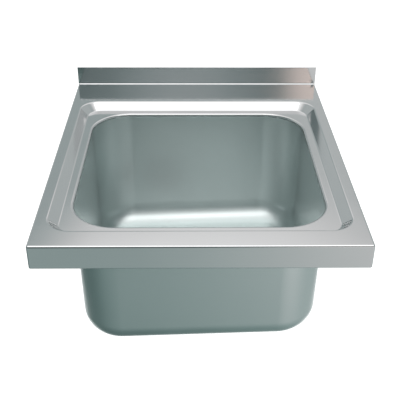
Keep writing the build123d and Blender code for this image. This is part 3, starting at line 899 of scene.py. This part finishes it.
@dataclass
class SpotWelds:
    """The spot welds that hold the channels, the rail and the brackets, as low domes on their flanges."""

    radius: float = 2.9 * MM
    rise: float = 0.22 * MM
    size_spread: Span = (0.88, 1.12)
    first_seed: int = 7
    flange_z: float = 37.3 * MM
    flange_count: int = 10
    front_y: float = -279.4 * MM
    front_step: float = 12 * MM
    rear_y: float = 250.4 * MM
    rear_step: float = 26 * MM
    rail_y: float = 290 * MM
    reach: float = 222 * MM
    bracket_x: float = 246.8 * MM
    bracket_front_y: float = -296.8 * MM
    bracket_rear_y: float = 295 * MM
    bracket_z: float = 11 * MM
    bracket_span: Span = (22 * MM, 60 * MM)
    bracket_count: int = 3

    def rows(self) -> list[SpotRow]:
        """Every row of welds.

        Returns:
            The rows under the deck, then those of the brackets.
        """
        rows: list[SpotRow] = []
        lines = [self.front_y - self.front_step, self.front_y + self.front_step]
        lines += [self.rear_y - self.rear_step, self.rear_y + self.rear_step, self.rail_y]
        for y in lines:
            ends = [(x, y, self.flange_z) for x in (-self.reach, self.reach)]
            rows.append(SpotRow(*ends, self.flange_count, (0.0, 0.0, -1.0)))
        for side in (-1, 1):
            x = side * self.bracket_x
            for y, inward in ((self.bracket_front_y, 1), (self.bracket_rear_y, -1)):
                ends = [(x, y + inward * way, self.bracket_z) for way in self.bracket_span]
                rows.append(SpotRow(*ends, self.bracket_count, (-side, 0.0, 0.0)))
                ends = [(x - side * way, y, self.bracket_z) for way in self.bracket_span]
                rows.append(SpotRow(*ends, self.bracket_count, (0.0, inward, 0.0)))
        return rows

    def recipe(self) -> Recipe:
        """Make the group that lays one row.

        Returns:
            The group.
        """
        kinds = {"Start": "Vector", "End": "Vector", "Facing": "Vector", "Count": "Int",
                 "Radius": "Float", "Flatness": "Vector", "Seed": "Int"}
        recipe = Recipe("spot_row", kinds)
        desk, given = recipe.desk, recipe.inputs
        line = desk.add("GeometryNodeMeshLine", {"mode": "END_POINTS"}, Count=given["Count"],
                        Start_Location=given["Start"], Offset=given["End"])
        dome = desk.add("GeometryNodeMeshUVSphere", Segments=24, Rings=12, Radius=given["Radius"])
        flat = desk.add("GeometryNodeTransform", Geometry=dome.outputs["Mesh"], Scale=given["Flatness"])
        turn = desk.add("FunctionNodeAlignRotationToVector", {"axis": "Z"}, Vector=given["Facing"])
        size = desk.add("FunctionNodeRandomValue", {"data_type": "FLOAT"}, Seed=given["Seed"])
        size.inputs[2].default_value, size.inputs[3].default_value = self.size_spread
        spots = desk.add("GeometryNodeInstanceOnPoints", Points=line.outputs["Mesh"],
                         Instance=flat.outputs["Geometry"], Rotation=turn.outputs["Rotation"],
                         Scale=size.outputs[1])
        recipe.close(spots.outputs["Instances"])
        return recipe

    def build(self, materials: dict[str, Material]) -> Object:
        """Make the welds.

        Args:
            materials: The finished materials by slot.

        Returns:
            Their one piece.
        """
        piece = set_down("spot_welds", bpy.data.meshes.new("spot_welds"))
        recipe = self.recipe()
        for seed, row in enumerate(self.rows(), start=self.first_seed):
            recipe.lay(piece, {
                "Start": row.start, "End": row.end, "Facing": row.facing, "Count": row.count,
                "Radius": self.radius, "Flatness": (1.0, 1.0, self.rise / self.radius), "Seed": seed,
                "Finish": materials["frame_steel"],
            })
        bake(piece)
        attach(piece, "sink")
        return piece


@dataclass(frozen=True)
class Thread:
    """One bare stretch of thread."""

    radius: float
    foot_z: float
    turns: float


@dataclass
class WasteThreads:
    """The fine threads outside the waste's cup and its outlet stub, where the nuts leave them bare."""

    middle: Span = (-80 * MM, -25.7 * MM)
    pitch: float = 2 * MM
    ridge: float = 0.26 * MM
    cup: Thread = Thread(43 * MM, -263 * MM, 12.0)
    stub: Thread = Thread(23.9 * MM, -277.6 * MM, 2.0)

    def recipe(self) -> Recipe:
        """Make the group that winds one thread.

        Returns:
            The group.
        """
        kinds = {"Place": "Vector", "Turns": "Float", "Radius": "Float", "Height": "Float", "Ridge": "Float"}
        recipe = Recipe("thread", kinds)
        desk, given = recipe.desk, recipe.inputs
        path = desk.add("GeometryNodeCurveSpiral", Resolution=72, Rotations=given["Turns"],
                        Start_Radius=given["Radius"], End_Radius=given["Radius"], Height=given["Height"])
        crest = desk.add("GeometryNodeCurvePrimitiveCircle", Resolution=6, Radius=given["Ridge"])
        wound = desk.add("GeometryNodeCurveToMesh", Fill_Caps=True, Curve=path.outputs["Curve"],
                         Profile_Curve=crest.outputs["Curve"])
        placed = desk.add("GeometryNodeTransform", Geometry=wound.outputs["Mesh"], Translation=given["Place"])
        recipe.close(placed.outputs["Geometry"])
        return recipe

    def build(self, materials: dict[str, Material]) -> Object:
        """Make the threads.

        Args:
            materials: The finished materials by slot.

        Returns:
            Their one piece.
        """
        piece = set_down("waste_threads", bpy.data.meshes.new("waste_threads"))
        recipe = self.recipe()
        for thread in (self.cup, self.stub):
            recipe.lay(piece, {
                "Place": (*self.middle, thread.foot_z), "Turns": thread.turns, "Radius": thread.radius,
                "Height": thread.turns * self.pitch, "Ridge": self.ridge, "Finish": materials["waste_steel"],
            })
        bake(piece)
        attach(piece, "sink")
        return piece


@dataclass(frozen=True)
class Viewpoint:
    """Where the picture is taken from."""

    place: Triple = (-0.0171, -1.1547, 0.6413)
    pitch_down: float = math.radians(31.509)
    turn_right: float = math.radians(0.999)
    roll: float = math.radians(0.416)
    lens: float = 65.9
    sensor_width: float = 36.0
    clip_start: float = 0.01

    def build(self) -> None:
        """Make the camera and look through it."""
        flat = math.cos(self.pitch_down)
        aside, onward = math.sin(self.turn_right), math.cos(self.turn_right)
        ahead = Vector((aside * flat, onward * flat, -math.sin(self.pitch_down)))
        level = Vector((onward, -aside, 0))
        upright = level.cross(ahead)
        right = level * math.cos(self.roll) + upright * math.sin(self.roll)
        up = upright * math.cos(self.roll) - level * math.sin(self.roll)
        camera = bpy.data.cameras.new("view")
        camera.lens = self.lens
        camera.sensor_width = self.sensor_width
        camera.clip_start = self.clip_start
        holder = set_down("view", camera)
        columns = (right, up, -ahead, Vector(self.place))
        rows = [[column[axis] for column in columns] for axis in range(3)]
        holder.matrix_world = Matrix([*rows, [0, 0, 0, 1]])
        bpy.context.scene.camera = holder


def tinted(desk: NodeDesk, level: NodeSocket, shade: Triple, ramp: Ramp) -> NodeSocket:
    """Colour a level: shaded where it is low, and white past the ramp of levels."""
    tint = desk.mix(desk.ease(level, ramp), shade, (1, 1, 1))
    return desk.mix(1.0, tint, level, "MULTIPLY")


# How bright the dark strip in front is on its left and on its right, where the floor meets the wall: in the
# room's light it is light, on the floor it is painted shade.
FOOT_LEVELS: Span = (0.06, 0.55)


@dataclass(frozen=True)
class StudioFloor:
    """A pale floor at a sink's working height below the deck.

    It is white behind the part. In front of it and beside it, it is painted darker and a little greener, as
    painted shade, and further in front darker still on the left. A level of 1 is white. Ramps follow the
    place along X or Y, from the part's middle.
    """

    height: float = -0.86
    half: float = 30.0
    glow: float = 1.06
    matt: float = 0.32
    white_y: Ramp = (-0.02, 0.23)
    white_side: Ramp = (0.56, 0.78, 1.0, 0.0)
    side_spread: float = 0.235
    painted_near_x: Ramp = (-0.4, 1.1, 0.12, 0.36)
    painted_near_y: Ramp = (-1.3, -0.4, 0.17, 0.0)
    painted_foot_x: Ramp = (0.1, 0.7, *FOOT_LEVELS)
    painted_foot_y: Ramp = (-2.15, -1.75)
    painted_back_level: float = 0.10
    back_y: Ramp = (0.5, 1.0)
    shade: Triple = (0.68, 1.0, 0.97)
    shade_levels: Ramp = (0.08, 0.56)

    def level(self, desk: NodeDesk, x: NodeSocket, y: NodeSocket) -> NodeSocket:
        """How bright the floor is painted, painted shade included.

        Args:
            desk: The tree it is made in.
            x: The place along X.
            y: The place along Y.

        Returns:
            The level's socket.
        """
        # Painted shade: darker near the part than further in front, darker on the left, darkest on the left
        # beyond about 2 m in front, and dark far behind beside the white.
        near = desk.plus(desk.ease(x, self.painted_near_x), desk.ease(y, self.painted_near_y))
        ahead = desk.between(desk.ease(x, self.painted_foot_x), near, desk.ease(y, self.painted_foot_y))
        grey = desk.between(ahead, self.painted_back_level, desk.ease(y, self.back_y))
        reach = desk.math("SUBTRACT", desk.math("ABSOLUTE", x, 0.0), desk.times(y, self.side_spread))
        white = desk.times(desk.ease(y, self.white_y), desk.ease(reach, self.white_side))
        return desk.between(grey, 1.0, white)

    def build(self) -> None:
        """Make the floor."""
        material = bpy.data.materials.new("studio_floor")
        material.use_nodes = True
        desk = NodeDesk(material.node_tree)
        spot = desk.add("ShaderNodeTexCoord").outputs["Object"]
        x, y, _ = desk.add("ShaderNodeSeparateXYZ", Vector=spot).outputs
        colour = tinted(desk, self.level(desk, x, y), self.shade, self.shade_levels)
        # The floor glows with its painted colour: painted light from a part that is no lamp. The matt layer
        # takes the lamps' light and the part's shadow.
        glow = desk.add("ShaderNodeEmission", Strength=self.glow, Color=colour)
        matt = desk.add("ShaderNodeBsdfDiffuse", Color=desk.mix(1.0, colour, (self.matt,) * 3, "MULTIPLY"))
        both = desk.add("ShaderNodeAddShader")
        desk.put(both.inputs[0], glow.outputs[0])
        desk.put(both.inputs[1], matt.outputs[0])
        desk.add("ShaderNodeOutputMaterial", Surface=both.outputs[0])
        mesh = bpy.data.meshes.new("studio_floor")
        corners = [(x * self.half, y * self.half) for x, y in ((-1, -1), (1, -1), (1, 1), (-1, 1))]
        mesh.from_pydata([(*corner, self.height) for corner in corners], [], [(0, 1, 2, 3)])
        mesh.materials.append(material)
        ground = set_down("studio_floor", mesh)


@dataclass(frozen=True)
class Room:
    """The room's soft light: a bright ceiling, dimmer walls, and one warm window in front and to the right.

    A level of 1 is white. Ramps follow a direction's share along X, Y or Z.
    """

    turn_y: Ramp = (-0.25, 0.25)
    fade_x: Ramp = (0.3, 0.65, 1.0, 0.38)
    overhead_y: Ramp = (0.2, 0.5, 1.0, -1.0)
    overhead_z: Ramp = (0.78, 0.93, 0.0, 0.20)
    back_x: Ramp = (-0.10, 0.16, 0.41, 0.54)
    back_side: float = 0.50
    back_side_x: Ramp = (0.22, 0.42)
    back_ceiling: float = 0.93
    back_top: Ramp = (0.44, 0.61)
    sag_x: float = 0.13
    sag_rate: float = -0.6
    front_left_x: Ramp = (-0.15, -0.02, 0.20, 0.43)
    front_right: float = 0.24
    front_right_x: Ramp = (0.02, 0.11)
    foot_left_x: Ramp = (-0.38, -0.22, 0.18, 0.0)
    foot_right_x: Ramp = (0.12, 0.36, *FOOT_LEVELS)
    foot_z: Ramp = (0.26, 0.35)
    front_ceiling: float = 0.90
    dim_left_x: Ramp = (-0.25, -0.10, 0.62, 1.0)
    dim_right_x: Ramp = (0.04, 0.20, 1.0, 0.25)
    dim_z: Ramp = (0.66, 0.80)
    front_top: Ramp = (0.36, 0.75)
    shade: Triple = (0.80, 1.0, 1.0)
    shade_levels: Ramp = (0.2, 0.7)
    window: Triple = (1.02, 0.87, 0.80)
    window_left: Ramp = (0.118, 0.15)
    window_right: Ramp = (0.30, 0.36, 1.0, 0.0)
    window_foot: Ramp = (0.28, 0.32)
    window_top: Ramp = (0.42, 0.46, 1.0, 0.0)
    window_y: Ramp = (-0.6, -0.5, 1.0, 0.0)

    def behind(self, desk: NodeDesk, x: NodeSocket, z: NodeSocket, fade: NodeSocket) -> NodeSocket:
        """The wall and the ceiling behind the part, whose edge bends down to both sides, more to the left.

        Args:
            desk: The tree it is made in.
            x: The direction's share to the right.
            z: Its share upwards.
            fade: How much of the ceiling's light is left towards the sides.

        Returns:
            The level's socket.
        """
        wide = desk.math("ABSOLUTE", x, 0.0)
        wall = desk.between(desk.ease(x, self.back_x), self.back_side, desk.ease(wide, self.back_side_x))
        leftward = desk.math("MAXIMUM", desk.times(desk.plus(x, self.sag_x), self.sag_rate), 0.0)
        sag = desk.plus(desk.math("POWER", wide, 2.0), leftward)
        height = desk.math("SUBTRACT", z, sag)
        return desk.between(wall, desk.times(fade, self.back_ceiling), desk.ease(height, self.back_top))

    def ahead(self, desk: NodeDesk, x: NodeSocket, z: NodeSocket, fade: NodeSocket) -> NodeSocket:
        """The wall in front of the part, with its dark foot, and the ceiling, dimmer beside its middle.

        Args:
            desk: The tree it is made in.
            x: The direction's share to the right.
            z: Its share upwards.
            fade: How much of the ceiling's light is left towards the sides.

        Returns:
            The level's socket.
        """
        left = desk.ease(x, self.front_left_x)
        wall = desk.between(left, self.front_right, desk.ease(x, self.front_right_x))
        foot = desk.plus(desk.ease(x, self.foot_right_x), desk.ease(x, self.foot_left_x))
        low = desk.between(foot, wall, desk.ease(z, self.foot_z))
        ceiling = desk.times(fade, self.front_ceiling)
        beside = desk.times(desk.ease(x, self.dim_right_x), desk.ease(x, self.dim_left_x))
        upper = desk.between(desk.times(ceiling, beside), ceiling, desk.ease(z, self.dim_z))
        return desk.between(low, upper, desk.ease(z, self.front_top))

    def opening(self, desk: NodeDesk, x: NodeSocket, y: NodeSocket, z: NodeSocket) -> NodeSocket:
        """How much of a direction the window fills.

        Args:
            desk: The tree it is made in.
            x: The direction's share to the right.
            y: Its share to the back.
            z: Its share upwards.

        Returns:
            The share's socket.
        """
        edges = desk.times(desk.ease(x, self.window_left), desk.ease(x, self.window_right))
        tall = desk.times(desk.ease(z, self.window_top), desk.ease(z, self.window_foot))
        return desk.times(desk.times(edges, tall), desk.ease(y, self.window_y))

    def build(self) -> None:
        """Make the room's light."""
        world = bpy.data.worlds.new("studio")
        bpy.context.scene.world = world
        world.use_nodes = True
        desk = NodeDesk(world.node_tree)
        spot = desk.add("ShaderNodeTexCoord").outputs["Generated"]
        x, y, z = desk.add("ShaderNodeSeparateXYZ", Vector=spot).outputs
        fade = desk.ease(desk.math("ABSOLUTE", x, 0.0), self.fade_x)
        walls = self.ahead(desk, x, z, fade), self.behind(desk, x, z, fade)
        room = desk.between(*walls, desk.ease(y, self.turn_y))
        overhead = desk.times(desk.ease(z, self.overhead_z), desk.ease(y, self.overhead_y))
        colour = tinted(desk, desk.plus(room, overhead), self.shade, self.shade_levels)
        lit = desk.mix(self.opening(desk, x, y, z), colour, self.window)
        background = desk.add("ShaderNodeBackground", Color=lit)
        desk.add("ShaderNodeOutputWorld", Surface=background.outputs[0])


@dataclass(frozen=True)
class SoftBox:
    """The soft lamp overhead, turned to the part."""

    width: float = 2.2
    length: float = 1.3
    power: float = 7.0
    place: Triple = (0.1, -1.0, 2.3)

    def build(self) -> None:
        """Make the lamp."""
        light = bpy.data.lights.new("soft_box", "AREA")
        light.shape = "RECTANGLE"
        light.size = self.width
        light.size_y = self.length
        light.energy = self.power
        holder = set_down("soft_box", light)
        place = Vector(self.place)
        turn = (-place).to_track_quat("-Z", "Y").to_matrix().to_4x4()
        holder.matrix_world = Matrix.Translation(place) @ turn


def dress_frame(materials: dict[str, Material]) -> None:
    """Give each carried-over node its finish.

    Args:
        materials: The finished materials by slot.
    """
    for part in frame["record"]["subparts"]:
        node = frame["nodes"][part["node"]]
        material = materials[part["material_slot"]]
        if not node.material_slots:
            node.data.materials.append(material)
        for slot in node.material_slots:
            slot.material = material


def main() -> None:
    """Build the pieces in order and report each."""
    logging.basicConfig(level=logging.INFO, format="%(name)s: %(message)s")
    materials = {finish.name: finish.build() for finish in FINISHES}
    dress_frame(materials)
    for maker in (TopSheet(), Bowl(), SpotWelds(), WasteThreads()):
        piece = maker.build(materials)
        log.info("%s: %d faces", piece.name, len(piece.data.polygons))
    for stage in (StudioFloor(), Room(), SoftBox(), Viewpoint()):
        stage.build()
    bpy.context.scene.view_settings.view_transform = "Standard"


if __name__ == "__main__":
    main()
